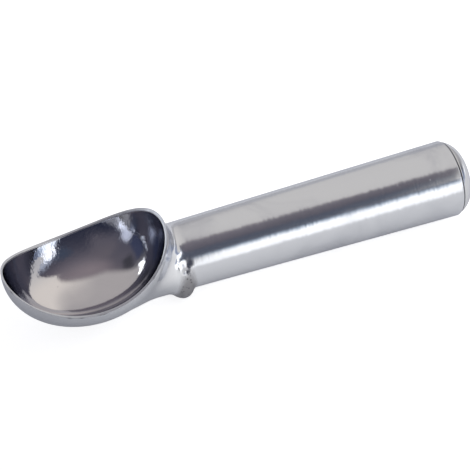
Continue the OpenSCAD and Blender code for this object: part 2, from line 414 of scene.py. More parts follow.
seam_floor = end_profile(SEAM_X) - SEAM_DEPTH
edge_start = SEAM_X - SEAM_EDGE - EDGE_ROUND * math.sin(EDGE_TURN)
end_turn = np.linspace(EDGE_TURN, 0.0, ROUND_STEPS)
cone_x = np.linspace(edge_start, 0.0, HANDLE_STEPS + 1)[1:-1]
inside_profile = np.array([
    (BORE_START, bore_r[0]), (SEAT_X, bore_r[1]), (SEAT_X, seat_r), (SEAM_X, seat_r),
    (SEAM_X, seam_floor), (SEAM_X - SEAM_EDGE, seam_floor + SEAM_EDGE),
])
outside_profile = np.concatenate([
    np.stack([
        edge_start + EDGE_ROUND * np.sin(end_turn),
        handle_radius(edge_start) - EDGE_ROUND * (1.0 - np.cos(end_turn)),
    ], axis=-1),
    np.stack([cone_x, handle_radius(cone_x)], axis=-1),
])
handle_rows = turned_rows(np.concatenate([inside_profile, outside_profile]), ray_turn)
print("Handle rows:", handle_rows.shape)

# %% [markdown]
# ## One closed skin
# Rows that share their rays make a skin when each square between two rows and
# two rays becomes a face. A single point closes each end. Faces must turn
# their front outward, which the sign of the enclosed volume proves.


# %% Skin helper
def skin_object(name, rows, first_point, last_point, sharp_degrees):
    """Quads between neighbouring rows and fans to a point at each end. The skin is smooth
    except for edges that are sharper than the given angle."""
    count, rays = rows.shape[:2]
    index = np.arange(count * rays).reshape(count, rays)
    after = np.roll(index, -1, axis=1)
    quads = np.stack([index[:-1], after[:-1], after[1:], index[1:]], axis=-1).reshape(-1, 4)
    first, last = count * rays, count * rays + 1
    fans = np.concatenate([
        np.stack([np.full(rays, first), after[0], index[0]], axis=-1),
        np.stack([np.full(rays, last), index[-1], after[-1]], axis=-1),
    ])
    points = (np.concatenate([rows.reshape(-1, 3), [first_point, last_point]]) + PLACE) * MM
    triangles = np.concatenate([quads[:, :3], quads[:, [0, 2, 3]], fans])
    a, b, c = (points[triangles[:, k]] for k in range(3))
    volume = np.einsum("ij,ij->i", a, np.cross(b, c)).sum() / 6.0
    mesh = bpy.data.meshes.new(name)
    mesh.from_pydata(points.tolist(), [], quads.tolist() + fans.tolist())
    mesh.shade_smooth()
    mesh.set_sharp_from_angle(angle=math.radians(sharp_degrees))
    piece = bpy.data.objects.new(name, mesh)
    scene.collection.objects.link(piece)
    print(name, "has", len(triangles), "triangles and", round(volume * 1e9), "cubic mm")
    return piece


# %% Casting
casting_rows = np.concatenate([handle_rows, outer_rows[::-1], bead_rows, inner_rows])
bore_end = np.array([BORE_START, 0.0, 0.0])
casting = skin_object("casting", casting_rows, bore_end, HOLLOW_BOTTOM, sharp_degrees=38.0)

# %% [markdown]
# ## Marks for the finish and for painted light and shade
# Different areas of the casting are finished differently: the hollow is buffed
# to a mirror, the outside is polished on a belt, the neck is ground by hand,
# the heel keeps some of its cast skin and the bore is raw. Some marks carry
# painted light and shade: a lighter neck as a painted highlight, a darker wall
# and near side of the hollow as painted shade, and a dark seam, which is painted
# shade in its groove and partly polishing residue. A number on each point tells
# the material where it is, which is simpler than several materials with borders
# between.


# %% Marks on rim and hollow
def mark_area(piece, name, row_values):
    """Writes one number for each point of the skin. The end points take their neighbour's."""
    values = np.concatenate([row_values.ravel(), [row_values[0, 0], row_values[-1, 0]]])
    layer = piece.data.attributes.new(name, "FLOAT", "POINT")
    layer.data.foreach_set("value", values.astype(np.float32))
    print("Area", name, "covers", round(100.0 * float(values.mean()), 1), "percent of the points")


def fade(value, start, end):
    """Straight ramp of a value: zero at start, one at end, and held beyond both."""
    return np.clip((value - start) / (end - start), 0.0, 1.0)


row_number = np.arange(len(casting_rows))[:, None] + np.zeros(RAYS)
first_bead_row = len(handle_rows) + len(outer_rows)
first_hollow_row = first_bead_row + BEAD_STEPS
past_bead = np.abs(row_number - first_bead_row - 0.5 * (BEAD_STEPS - 1)) - 0.5 * BEAD_STEPS
mark_area(casting, "rim", fade(past_bead, 1.0, 0.0))
mark_area(casting, "hollow", fade(row_number - first_hollow_row, -1.0, 1.0))

# %% Marks on the wall of the hollow
# Wall and lip fade over shares of the way down, the near side over millimetres across
WALL_FADE, LIP_FADE, NEAR_FADE = (0.67, 0.22), (0.20, 0.08), (0.0, -12.0)
NEAR_WALL_PART, NEAR_LIP_PART = 0.57, 0.43
in_hollow = row_number >= first_hollow_row
way_down = (row_number - first_hollow_row) / HOLLOW_STEPS
wall_way, lip_way = fade(way_down, *WALL_FADE), fade(way_down, *LIP_FADE)
near_way = fade(casting_rows[..., 1], *NEAR_FADE) * in_hollow
# Besides roughness and streaks, the wall mark carries painted shade: a darker colour on the steep
# wall
mark_area(casting, "wall", wall_way**2 * (3.0 - 2.0 * wall_way) * in_hollow)
# The near-wall mark is painted shade only: it makes the near side of the wall and lip dark
near_wall_shade = NEAR_WALL_PART * wall_way**3 + NEAR_LIP_PART * lip_way
mark_area(casting, "front_wall_shade", near_wall_shade * near_way)

# %% Marks on bore, seam, heel and neck
# The seam fades over rows, heel and neck over millimetres
SEAM_FADE, HEEL_FADE = (2.8, 0.8), (-1.26, 0.54)
NECK_X, NECK_FADE, NECK_HEIGHT_FADE = -12.5, (9.0, 3.0), (-2.0, 3.0)
on_outside = (row_number >= len(handle_rows)) * (row_number < first_bead_row)
heel_lead = bowl_and_neck_gap(casting_rows) - heel_gap(casting_rows)
neck_way = fade(np.abs(casting_rows[..., 0] - NECK_X), *NECK_FADE)
neck_height = fade(casting_rows[..., 2], *NECK_HEIGHT_FADE)
from_seam = np.abs(row_number - len(inside_profile) + 1.0)
mark_area(casting, "bore", (row_number < len(inside_profile) - 1).astype(float))
# Seam mark: painted shade in the groove of the cap's seam, and partly polishing residue
mark_area(casting, "seam", fade(from_seam, *SEAM_FADE))
mark_area(casting, "heel", fade(heel_lead, *HEEL_FADE) * on_outside)
# Neck mark: where the material paints a highlight, a lighter colour on the neck's outside
mark_area(casting, "neck", neck_way * neck_height * on_outside)

# %% [markdown]
# ## Nicks in the rim
# A rim that knocks against tubs and other tools gets small dark nicks. Cutting
# them into the mesh would take very fine faces for marks under a millimetre
# wide. So each is a soft spot in one more mark, long along the rim and narrow
# across it, and the material darkens and roughens the metal there.

# %% Nicks
NICK_RAYS = (174, 180, 189, 191, 24, 71, 103, 139, 221, 236)
NICK_LENGTH, NICK_WIDTH = 0.9, 0.32
nicks = np.zeros(casting_rows.shape[:2])
for ray in NICK_RAYS:
    run = outer_edge[ray + 1] - outer_edge[ray - 1]
    offset = casting_rows - outer_edge[ray]
    along = offset @ (run / np.linalg.norm(run))
    off_line = (offset**2).sum(-1) - along**2
    spot = np.exp(-((along / NICK_LENGTH) ** 2) - off_line / NICK_WIDTH**2)
    nicks = np.maximum(nicks, spot)
mark_area(casting, "nick", nicks)

# %% [markdown]
# ## Cap
# The cap is turned on a lathe: a spigot with a groove for the seal goes into
# the handle, and a dome carries on the handle's rounding to a flat end. It is
# a profile carried round the axis, with more steps than the CAD model has, so
# that reflections run smoothly over the dome.

# %% Cap profile
CAP_RAYS, DOME_STEPS = 192, 26
SPIGOT_LENGTH, SPIGOT_GAP = 9.0, 0.05
GROOVE_DEPTH, GROOVE_WIDTH, GROOVE_INSET = 1.6, 2.2, 3.2
FLAT_RINGS = (4.0, 2.0)
spigot_start, spigot_r = SEAM_X - SPIGOT_LENGTH, seat_r - SPIGOT_GAP
groove_back, groove_r = SEAM_X - GROOVE_INSET, spigot_r - GROOVE_DEPTH
groove_front = groove_back - GROOVE_WIDTH
cap_edge_x = SEAM_X + SEAM_DEPTH
edge_break_x = cap_edge_x - 0.3 * SEAM_EDGE
dome_start = math.asin((cap_edge_x + SEAM_EDGE - ROUND_X) / END_ROUND)
dome_turn = np.linspace(dome_start, QUARTER_TURN, DOME_STEPS)
dome_x = ROUND_X + END_ROUND * np.sin(dome_turn)
dome_r = END_R - END_ROUND + END_ROUND * np.cos(dome_turn)
cap_profile = np.concatenate([
    [
        (spigot_start, spigot_r), (groove_front, spigot_r), (groove_front, groove_r),
        (groove_back, groove_r), (groove_back, spigot_r), (SEAM_X, spigot_r),
        (SEAM_X, seam_floor), (edge_break_x, end_profile(edge_break_x) - 0.5 * SEAM_EDGE),
    ],
    np.stack([dome_x, dome_r], axis=-1),
    [(TOTAL_END, r) for r in FLAT_RINGS],
])
print("Cap profile:", len(cap_profile), "points")

# %% Cap
SEAM_ROWS = (6, 7)
cap_turn = -2.0 * np.pi * np.arange(CAP_RAYS) / CAP_RAYS
cap = skin_object(
    "cap", turned_rows(cap_profile, cap_turn)[::-1],
    np.array([TOTAL_END, 0.0, 0.0]), np.array([spigot_start, 0.0, 0.0]), sharp_degrees=30.0,
)
# The cap's seam rows are painted dark: shade in the groove, and partly polishing residue
cap_seam = np.isin(np.arange(len(cap_profile)), SEAM_ROWS)[::-1, None] * np.ones(CAP_RAYS)
mark_area(cap, "seam", cap_seam)

# %% [markdown]
# ## Riding on the frame
# Nothing moves on this scoop, so both pieces ride on its one body. Each stands
# for its CAD node, which MuJoCo keeps for collisions. The seal and the liquid
# are inside and keep their CAD shapes.

# %% Ride and replace
for piece, node_name, slot_name in (
    (casting, "scoop_casting", "cast_aluminium"),
    (cap, "end_cap", "cap_aluminium"),
):
    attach(piece, "root")
    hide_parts(node_name)
    print(piece.name, "stands for", node_name)

# %% [markdown]
# ## Node helpers
# Materials here are small networks. A few helpers keep them readable: they add
# a node with its settings and inputs, do sums, ramps and mixes, and start a
# node group with named sockets, so that an effect is built once and used by
# several materials.


# %% Node helpers
def feed(tree, socket, value):
    """Gives an input its value, or links it from another socket."""
    if isinstance(value, bpy.types.NodeSocket):
        tree.links.new(value, socket)
    else:
        socket.default_value = value


def fill(tree, node, **values):
    """Feeds a node's inputs by name; underscores in a name stand for spaces."""
    for key, value in values.items():
        feed(tree, node.inputs[key.replace("_", " ")], value)


def add_node(tree, kind, inputs=None, **settings):
    """Adds a node with its settings; an input is a value, or a socket to link from."""
    new = tree.nodes.new(kind)
    for key, value in settings.items():
        setattr(new, key, value)
    for key, value in (inputs or {}).items():
        feed(tree, new.inputs[key], value)
    return new


def object_place(tree):
    """Object coordinates, given as the output socket."""
    return add_node(tree, "ShaderNodeTexCoord").outputs["Object"]


def place_parts(tree, vector):
    """A vector's X, Y and Z, given as the node's outputs."""
    return add_node(tree, "ShaderNodeSeparateXYZ", {"Vector": vector}).outputs


print("Helpers that add nodes are ready")


# %% Sums, ramps and mixes
def math_node(tree, operation, *terms):
    """One sum on its terms, given as the output socket."""
    return add_node(tree, "ShaderNodeMath", dict(enumerate(terms)), operation=operation).outputs[0]


def plus_share(tree, base, value, weight):
    """A base plus a value times its weight, given as the output socket."""
    return math_node(tree, "ADD", base, math_node(tree, "MULTIPLY", value, weight))


def vector_node(tree, operation, *terms):
    """One vector sum on its terms, given as the node's outputs."""
    terms = dict(enumerate(terms))
    return add_node(tree, "ShaderNodeVectorMath", terms, operation=operation).outputs


def ramp_node(tree, value, start, end):
    """A smooth step from zero at start to one at end, given as the output socket."""
    return add_node(
        tree, "ShaderNodeMapRange", {"Value": value, "From Min": start, "From Max": end},
        interpolation_type="SMOOTHSTEP",
    ).outputs["Result"]


def mix_value(tree, share, a, b):
    """A number between two, given as the output socket."""
    ends = {"Factor": share, 2: a, 3: b}
    return add_node(tree, "ShaderNodeMix", ends, data_type="FLOAT").outputs[0]


def mix_colour(tree, share, a, b):
    """A colour between two, given as the output socket."""
    new = add_node(tree, "ShaderNodeMix", {"Factor": share}, data_type="RGBA")
    for socket, colour in ((new.inputs[6], a), (new.inputs[7], b)):
        linked = isinstance(colour, bpy.types.NodeSocket)
        feed(tree, socket, colour if linked else (*colour, 1.0))
    return new.outputs[2]


print("Helpers for sums, ramps and mixes are ready")

# %% Group helpers
FLOAT, VECTOR = "NodeSocketFloat", "NodeSocketVector"


def start_group(name, inputs, outputs):
    """An empty node group with named sockets; inputs are (name, kind, default)."""
    group = bpy.data.node_groups.new(name, "ShaderNodeTree")
    for socket_name, kind, default in inputs:
        socket = group.interface.new_socket(socket_name, in_out="INPUT", socket_type=kind)
        socket.default_value = default
    for socket_name, kind in outputs:
        group.interface.new_socket(socket_name, in_out="OUTPUT", socket_type=kind)
    given = group.nodes.new("NodeGroupInput").outputs
    wanted = group.nodes.new("NodeGroupOutput").inputs
    return group, given, wanted


def use_group(tree, group, **values):
    """Places a group in a tree with its own values, given as the node's outputs."""
    new = add_node(tree, "ShaderNodeGroup", node_tree=group)
    fill(tree, new, **values)
    return new.outputs


print("Helpers for groups are ready")

# %% [markdown]
# ## Effects that the metals share
# A polishing belt leaves fine parallel lines. They could be painted, but a
# noise that is stretched in one direction gives them everywhere without a
# seam. A belt also leaves the surface leaning a little to and fro round the
# handle, which smears reflections that way, so a second group tilts the normal
# by such lines. Pores are small holes that gas leaves in cast aluminium: some
# cells of a Voronoi pattern get a dot. Smudges are faint clouds where hands and
# cloths have dulled the polish.

# %% Polish lines
polish_lines, given, wanted = start_group(
    "polish_lines",
    [("Stretch", VECTOR, (1000.0, 1000.0, 1000.0)), ("Detail", FLOAT, 3.0)],
    [("Height", FLOAT)],
)
stretched = add_node(
    polish_lines, "ShaderNodeMapping",
    {"Vector": object_place(polish_lines), "Scale": given["Stretch"]},
).outputs["Vector"]
lines_noise = add_node(
    polish_lines, "ShaderNodeTexNoise",
    {"Vector": stretched, "Scale": 1.0, "Detail": given["Detail"], "Roughness": 0.6},
)
feed(polish_lines, wanted["Height"], lines_noise.outputs["Fac"])
print("Group:", polish_lines.name)

# %% Belt wobble
HANDLE_WAY = (1.0, 0.0, 0.0)
belt_wobble, given, wanted = start_group(
    "belt_wobble",
    [("Stretch", VECTOR, (1500.0, 150.0, 150.0)), ("Strength", FLOAT, 0.05)],
    [("Normal", VECTOR)],
)
streaks = use_group(belt_wobble, polish_lines, Stretch=given["Stretch"], Detail=2.0)["Height"]
lean = math_node(belt_wobble, "SUBTRACT", streaks, 0.5)
lean = math_node(belt_wobble, "MULTIPLY", lean, given["Strength"])
facing = add_node(belt_wobble, "ShaderNodeNewGeometry").outputs["Normal"]
around = vector_node(belt_wobble, "CROSS_PRODUCT", HANDLE_WAY, facing)[0]
leaning = vector_node(belt_wobble, "MULTIPLY_ADD", around, lean, facing)[0]
feed(belt_wobble, wanted["Normal"], vector_node(belt_wobble, "NORMALIZE", leaning)[0])
print("Group:", belt_wobble.name)

# %% Casting pores
PORE_CORE = 0.4
casting_pores, given, wanted = start_group(
    "casting_pores",
    [("Cells", FLOAT, 600.0), ("Size", FLOAT, 0.2), ("Amount", FLOAT, 0.1)],
    [("Mask", FLOAT)],
)
cells = add_node(
    casting_pores, "ShaderNodeTexVoronoi",
    {"Vector": object_place(casting_pores), "Scale": given["Cells"]},
).outputs
core = math_node(casting_pores, "MULTIPLY", given["Size"], PORE_CORE)
dot = ramp_node(casting_pores, cells["Distance"], given["Size"], core)
cell_draw = add_node(
    casting_pores, "ShaderNodeSeparateColor", {"Color": cells["Color"]}
).outputs["Red"]
chosen = math_node(casting_pores, "LESS_THAN", cell_draw, given["Amount"])
feed(casting_pores, wanted["Mask"], math_node(casting_pores, "MULTIPLY", dot, chosen))
print("Group:", casting_pores.name)

# %% Smudges
soft_smudges, given, wanted = start_group(
    "soft_smudges",
    [("Scale", FLOAT, 60.0), ("Low", FLOAT, 0.45), ("High", FLOAT, 0.75)],
    [("Mask", FLOAT)],
)
clouds = add_node(
    soft_smudges, "ShaderNodeTexNoise",
    {"Vector": object_place(soft_smudges), "Scale": given["Scale"],
     "Detail": 4.0, "Roughness": 0.55, "Distortion": 0.6},
).outputs["Fac"]
feed(soft_smudges, wanted["Mask"], ramp_node(soft_smudges, clouds, given["Low"], given["High"]))
print("Group:", soft_smudges.name)

# %% [markdown]
# ## Polished casting
# Aluminium is a bright, almost neutral metal, so nearly all of its look comes
# from what it mirrors and how sharply. The colour changes with the finish: the
# buffed hollow is warmer than the belt-polished outside, the heel's cast skin is
# darker, and smudges, pores and nicks darken spots. Other colours are painted
# light and shade: the hollow's steep wall is darker and its near side much
# darker (painted shade), the neck is lighter (painted highlight), and the seam
# is dark (painted shade in its groove, partly polishing residue).
# Roughness does the main work: lowest in the hollow, more on the outside and
# the ground rim, most on the heel and in the raw bore.


# %% Material helpers
def start_material(name, **plain):
    """A new material with its Principled shader, and that shader's plain values by name."""
    material = bpy.data.materials.new(name)
    material.use_nodes = True
    tree = material.node_tree
    shader = tree.nodes["Principled BSDF"]
    fill(tree, shader, **plain)
    return material, tree, shader


def area_mark(tree, name):
    """A piece's own mark, given as the output socket."""
    return add_node(tree, "ShaderNodeAttribute", attribute_name=name).outputs["Fac"]


def add_bump(tree, shader, strength, distance, **inputs):
    """Links a shader's Normal from a bump with this distance in millimetres."""
    bump = add_node(tree, "ShaderNodeBump")
    fill(tree, bump, Strength=strength, Distance=distance * MM, **inputs)
    feed(tree, shader.inputs["Normal"], bump.outputs["Normal"])


def wear(piece, material):
    """Gives a piece this one material."""
    piece.data.materials.clear()
    piece.data.materials.append(material)
    print(piece.name, "wears", material.name)


print("Material helpers are ready")

# %% Polished casting: areas and dark spots
cast_metal, tree, shader = start_material(
    "polished_casting", Metallic=1.0, Specular_Tint=(0.73, 0.74, 0.78, 1.0)
)
AREAS = ("hollow", "wall", "front_wall_shade", "rim", "neck", "heel", "bore", "seam", "nick")
area = {name: area_mark(tree, name) for name in AREAS}
smudges = use_group(tree, soft_smudges, Scale=45.0, Low=0.45, High=0.8)["Mask"]
fine_pores = use_group(tree, casting_pores, Cells=700.0, Size=0.16, Amount=0.012)["Mask"]
heel_pores = use_group(tree, casting_pores, Cells=950.0, Size=0.38, Amount=0.85)["Mask"]
heel_spots = math_node(tree, "MULTIPLY", heel_pores, ramp_node(tree, area["heel"], 0.45, 0.95))
pores = math_node(tree, "MAXIMUM", fine_pores, heel_spots)
pores = math_node(tree, "MAXIMUM", pores, area["nick"])
print("Casting areas:", ", ".join(AREAS))

# %% Polished casting: colour
# Clean and smudged colours of both polishes, and the colours of single areas
BELT_CLEAN, BELT_SMUDGED = (0.715, 0.73, 0.765), (0.58, 0.595, 0.64)
MIRROR_CLEAN, MIRROR_SMUDGED = (0.86, 0.825, 0.815), (0.82, 0.785, 0.78)
# The wall's and the near wall's colours here are painted shade, darker than the mirror polish
WALL_PAINTED_SHADE, NEAR_WALL_PAINTED_SHADE = (0.58, 0.595, 0.65), (0.20, 0.20, 0.215)
# The neck's colour here is a painted highlight, lighter than the belt polish; the heel's is its
# cast skin
NECK_PAINTED_HIGHLIGHT, HEEL_METAL = (0.93, 0.94, 0.96), (0.35, 0.345, 0.36)
DARK_METAL = (0.10, 0.10, 0.115)
PORE_DARKNESS = 0.8
belt_polish = mix_colour(tree, smudges, BELT_CLEAN, BELT_SMUDGED)
# Painted highlight: the neck gets the lighter colour
belt_polish = mix_colour(tree, area["neck"], belt_polish, NECK_PAINTED_HIGHLIGHT)
mirror_polish = mix_colour(tree, smudges, MIRROR_CLEAN, MIRROR_SMUDGED)
# Painted shade: the steep wall of the hollow gets a darker colour
mirror_polish = mix_colour(tree, area["wall"], mirror_polish, WALL_PAINTED_SHADE)
# Painted shade: the near side of the hollow is much darker
mirror_polish = mix_colour(tree, area["front_wall_shade"], mirror_polish, NEAR_WALL_PAINTED_SHADE)
metal_colour = mix_colour(tree, area["hollow"], belt_polish, mirror_polish)
metal_colour = mix_colour(tree, area["heel"], metal_colour, HEEL_METAL)
dark_share = math_node(tree, "MULTIPLY", pores, PORE_DARKNESS)
# The seam is painted dark: shade in its groove, and partly polishing residue
dark_share = math_node(tree, "MAXIMUM", dark_share, area["seam"])
fill(tree, shader, Base_Color=mix_colour(tree, dark_share, metal_colour, DARK_METAL))
print("Casting colour linked")

# %% Polished casting: roughness
BELT_ROUGH, MIRROR_ROUGH, WALL_ROUGH = 0.17, 0.06, 0.075
RIM_ROUGH, HEEL_ROUGH, BORE_ROUGH = 0.28, 0.45, 0.6
BELT_SMUDGE, MIRROR_SMUDGE, PORE_ROUGHENS, HEEL_SHARE = 0.07, 0.05, 0.3, 0.8
belt_rough = plus_share(tree, BELT_ROUGH, smudges, BELT_SMUDGE)
mirror_rough = plus_share(tree, MIRROR_ROUGH, smudges, MIRROR_SMUDGE)
mirror_rough = mix_value(tree, area["wall"], mirror_rough, WALL_ROUGH)
area_rough = mix_value(tree, area["hollow"], belt_rough, mirror_rough)
area_rough = mix_value(tree, area["rim"], area_rough, RIM_ROUGH)
heel_share = math_node(tree, "MULTIPLY", area["heel"], HEEL_SHARE)
area_rough = mix_value(tree, heel_share, area_rough, HEEL_ROUGH)
area_rough = mix_value(tree, area["bore"], area_rough, BORE_ROUGH)
fill(tree, shader, Roughness=plus_share(tree, area_rough, pores, PORE_ROUGHENS))
print("Casting roughness linked")

# %% Polished casting: fine relief
PORE_DEPTH = 0.8
# Stretch, detail and weight of each kind of line
RELIEF = {
    "belt lines": ((1500.0, 350.0, 350.0), 2.0, mix_value(tree, area["hollow"], 0.10, 0.015)),
    "long waves": ((60.0, 110.0, 110.0), 1.0, 0.5),
    "wall streaks": ((900.0, 900.0, 70.0), 2.0, math_node(tree, "MULTIPLY", area["wall"], 0.5)),
    "cast grain": ((1300.0, 1300.0, 1300.0), 3.0, math_node(tree, "MULTIPLY", area["heel"], 0.9)),
}
relief = math_node(tree, "MULTIPLY", pores, -PORE_DEPTH)
for stretch, detail, weight in RELIEF.values():
    lines = use_group(tree, polish_lines, Stretch=stretch, Detail=detail)["Height"]
    relief = plus_share(tree, relief, lines, weight)
wobble = use_group(
    tree, belt_wobble, Stretch=(1500.0, 200.0, 200.0),
    Strength=mix_value(tree, area["hollow"], 0.11, 0.02),
)["Normal"]
add_bump(tree, shader, strength=1.0, distance=0.12, Height=relief, Normal=wobble)
print("Relief:", ", ".join(RELIEF))
wear(casting, cast_metal)

# %% [markdown]
# ## Turned cap
# The cap is the same metal, but a lathe tool and a buff leave rings round its
# axis instead of belt lines. Rings depend only on the distance from the axis,
# which the material works out from Object coordinates.

# %% Turned cap
CAP_CLEAN, CAP_SMUDGED = (0.76, 0.77, 0.79), (0.70, 0.71, 0.73)
RINGS_PER_METRE = 4000.0
cap_metal, tree, shader = start_material(
    "turned_cap", Metallic=1.0, Specular_Tint=(0.78, 0.79, 0.83, 1.0)
)
smudges = use_group(tree, soft_smudges, Scale=70.0, Low=0.4, High=0.8)["Mask"]
cap_colour = mix_colour(tree, smudges, CAP_CLEAN, CAP_SMUDGED)
# Painted shade in the seam's groove, and partly polishing residue
cap_colour = mix_colour(tree, area_mark(tree, "seam"), cap_colour, DARK_METAL)
fill(tree, shader, Base_Color=cap_colour, Roughness=plus_share(tree, 0.13, smudges, 0.08))
axis_place = (0.0, 0.0, PLACE[2] * MM)
from_axis = vector_node(tree, "SUBTRACT", object_place(tree), axis_place)[0]
from_axis = vector_node(tree, "MULTIPLY", from_axis, (0.0, 1.0, 1.0))[0]
axis_gap = vector_node(tree, "LENGTH", from_axis)["Value"]
ring_number = math_node(tree, "MULTIPLY", axis_gap, RINGS_PER_METRE)
rings = add_node(
    tree, "ShaderNodeTexNoise", noise_dimensions="1D",
    inputs={"W": ring_number, "Scale": 1.0, "Detail": 2.0},
).outputs["Fac"]
add_bump(tree, shader, strength=0.5, distance=0.012, Height=rings)
wear(cap, cap_metal)

# %% [markdown]
# ## Seal and liquid
# Both are out of sight in the handle, but a cut-away or an exported model can
# show them. The seal is black rubber with a fine moulded grain. The liquid is
# a thin tinted glycol mix, clear enough to see through.

# %% Seal rubber
RUBBER_DARK, RUBBER_LIGHT = (0.035, 0.035, 0.036), (0.06, 0.06, 0.058)
seal_rubber, tree, shader = start_material("seal_rubber")
grain = use_group(tree, soft_smudges, Scale=900.0, Low=0.3, High=0.7)["Mask"]
rubber_colour = mix_colour(tree, grain, RUBBER_DARK, RUBBER_LIGHT)
fill(tree, shader, Base_Color=rubber_colour, Roughness=plus_share(tree, 0.55, grain, 0.2))
add_bump(tree, shader, strength=0.6, distance=0.02, Height=grain)
wear(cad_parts["cap_seal"], seal_rubber)

# %% Tinted liquid
LIQUID_THIN, LIQUID_DEEP = (0.50, 0.74, 0.86), (0.42, 0.68, 0.84)
heat_liquid, tree, shader = start_material("heat_liquid", Transmission_Weight=1.0, IOR=1.4)
swirl = use_group(tree, soft_smudges, Scale=80.0, Low=0.3, High=0.8)["Mask"]
liquid_colour = mix_colour(tree, swirl, LIQUID_THIN, LIQUID_DEEP)
fill(tree, shader, Base_Color=liquid_colour, Roughness=plus_share(tree, 0.02, swirl, 0.03))
wear(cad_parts["heat_fluid"], heat_liquid)

# %% [markdown]
# ## Floor
# The scoop lies on a plain pale floor. Cameras see it lifted to white, also
# through the liquid, while its own soft shading still darkens it under the
# scoop. Polished metal mirrors it with a smaller lift, which keeps the shading.
# Its tone changes gradually from right to left, which gives the underside of
# the bowl something to mirror: darker just left of the scoop, as painted shade,
# and pale bluish further left, as painted light.


# %% Floor
def stage_sheet(name, corners):
    """One flat face that belongs to the studio and not to the scoop."""
    mesh = bpy.data.meshes.new(name)
    mesh.from_pydata(corners, [], [tuple(range(len(corners)))])
    sheet = bpy.data.objects.new(name, mesh)
    scene.collection.objects.link(sheet)
    return sheet


def level_corners(left, right, front, back, height):
    """Corners of a level rectangle. It faces up, or down where front and back change places."""
    level = [(left, front), (right, front), (right, back), (left, back)]
    return [(x, y, height) for x, y in level]


FLOOR_HALF = 4.0
floor = stage_sheet("floor", level_corners(-FLOOR_HALF, FLOOR_HALF, -FLOOR_HALF, FLOOR_HALF, 0.0))
print("Floor:", 2.0 * FLOOR_HALF, "m wide")

# %% Floor paint
FLOOR_TONE = (0.62, 0.62, 0.634)
# Painted shade near the bowl's left and painted light far left, both seen only in the metal
NEAR_LEFT, NEAR_LEFT_PAINTED_SHADE = (-0.03, -0.10), (0.32, 0.32, 0.345)
FAR_LEFT, FAR_LEFT_PAINTED_LIGHT = (-0.15, -0.45), (0.82, 0.87, 1.0)
LIFT, MIRRORED_SHARE = 0.74, 0.21
floor_paint, tree, shader = start_material("floor_paint")
tree.nodes.remove(shader)
floor_x = place_parts(tree, object_place(tree))["X"]
floor_colour = mix_colour(tree, ramp_node(tree, floor_x, *NEAR_LEFT), FLOOR_TONE, NEAR_LEFT_PAINTED_SHADE)
floor_colour = mix_colour(tree, ramp_node(tree, floor_x, *FAR_LEFT), floor_colour, FAR_LEFT_PAINTED_LIGHT)
paint = add_node(tree, "ShaderNodeBsdfDiffuse", {"Color": floor_colour})
rays = add_node(tree, "ShaderNodeLightPath").outputs
seen = math_node(tree, "MAXIMUM", rays["Is Camera Ray"], rays["Is Transmission Ray"])
mirrored = math_node(tree, "MULTIPLY", rays["Is Glossy Ray"], MIRRORED_SHARE)
seen = math_node(tree, "MAXIMUM", seen, mirrored)
lift = add_node(tree, "ShaderNodeEmission", {"Strength": math_node(tree, "MULTIPLY", seen, LIFT)})
both = add_node(tree, "ShaderNodeAddShader", {0: paint.outputs[0], 1: lift.outputs[0]})
feed(tree, tree.nodes["Material Output"].inputs["Surface"], both.outputs[0])
wear(floor, floor_paint)

# %% [markdown]
# ## Light sheet and panel
# A broad pale sheet hangs low over the table, and a small bright panel stands
# in front of the handle. They are real sheets and not a painted sky, because a
# near light is mirrored from another place in the bowl than in the handle. The
# sheet fades out over the bowl, where the camera looks in, and toward the
# front. The panel is bluish along its top. Both show only in polished surfaces.


# %% Glowing sheets
def glowing_sheet(name, corners):
    """A sheet that only polished surfaces see, with a material that has no shader yet."""
    sheet = stage_sheet(name, corners)
    for ray_kind in ("camera", "diffuse", "transmission", "shadow"):
        setattr(sheet, "visible_" + ray_kind, False)
    glow, tree, shader = start_material(name + "_glow")
    tree.nodes.remove(shader)
    wear(sheet, glow)
    return tree, object_place(tree)


def finish_glow(tree, mask, colour, strength):
    """Light of this colour where the mask is one, and nothing where it is zero."""
    light = add_node(tree, "ShaderNodeEmission", {"Color": colour, "Strength": strength}).outputs[0]
    clear = add_node(tree, "ShaderNodeBsdfTransparent").outputs[0]
    both = add_node(tree, "ShaderNodeMixShader", {0: mask, 1: clear, 2: light})
    feed(tree, tree.nodes["Material Output"].inputs["Surface"], both.outputs[0])


print("Helpers for glowing sheets are ready")

# %% Light sheet overhead
SHEET_LEFT, SHEET_RIGHT, SHEET_FRONT, SHEET_BACK, SHEET_Z = -0.57, 0.45, -0.27, 0.56, 0.2
# A round gap over the bowl, closed again over the handle by a slanted border
GAP_MIDDLE, GAP_EDGE = (-0.045, -0.009, SHEET_Z), (0.046, 0.10)
HANDLE_SLANT, HANDLE_EDGE = 0.4, (0.002, 0.016)
# Slant, start and end of the two front borders, and where they end on the right
FRONT_BORDERS = ((1.0, -0.0855, 0.0), (0.3, -0.038, -0.013))
RIGHT_EDGE = (0.15, 0.2)
WARM_SLANT, WARM_EDGE = -0.4, (-0.105, -0.007)
SHEET_DIM, SHEET_WARM = (0.42, 0.41, 0.425), (0.71, 0.685, 0.665)
tree, place = glowing_sheet(
    "light_sheet", level_corners(SHEET_LEFT, SHEET_RIGHT, SHEET_BACK, SHEET_FRONT, SHEET_Z)
)
sheet_place = place_parts(tree, place)
sheet_x, sheet_y = sheet_place["X"], sheet_place["Y"]
from_gap = vector_node(tree, "DISTANCE", place, GAP_MIDDLE)["Value"]
over_handle = ramp_node(tree, plus_share(tree, sheet_x, sheet_y, HANDLE_SLANT), *HANDLE_EDGE)
sheet_mask = math_node(tree, "MAXIMUM", ramp_node(tree, from_gap, *GAP_EDGE), over_handle)
open_right = ramp_node(tree, sheet_x, *RIGHT_EDGE)
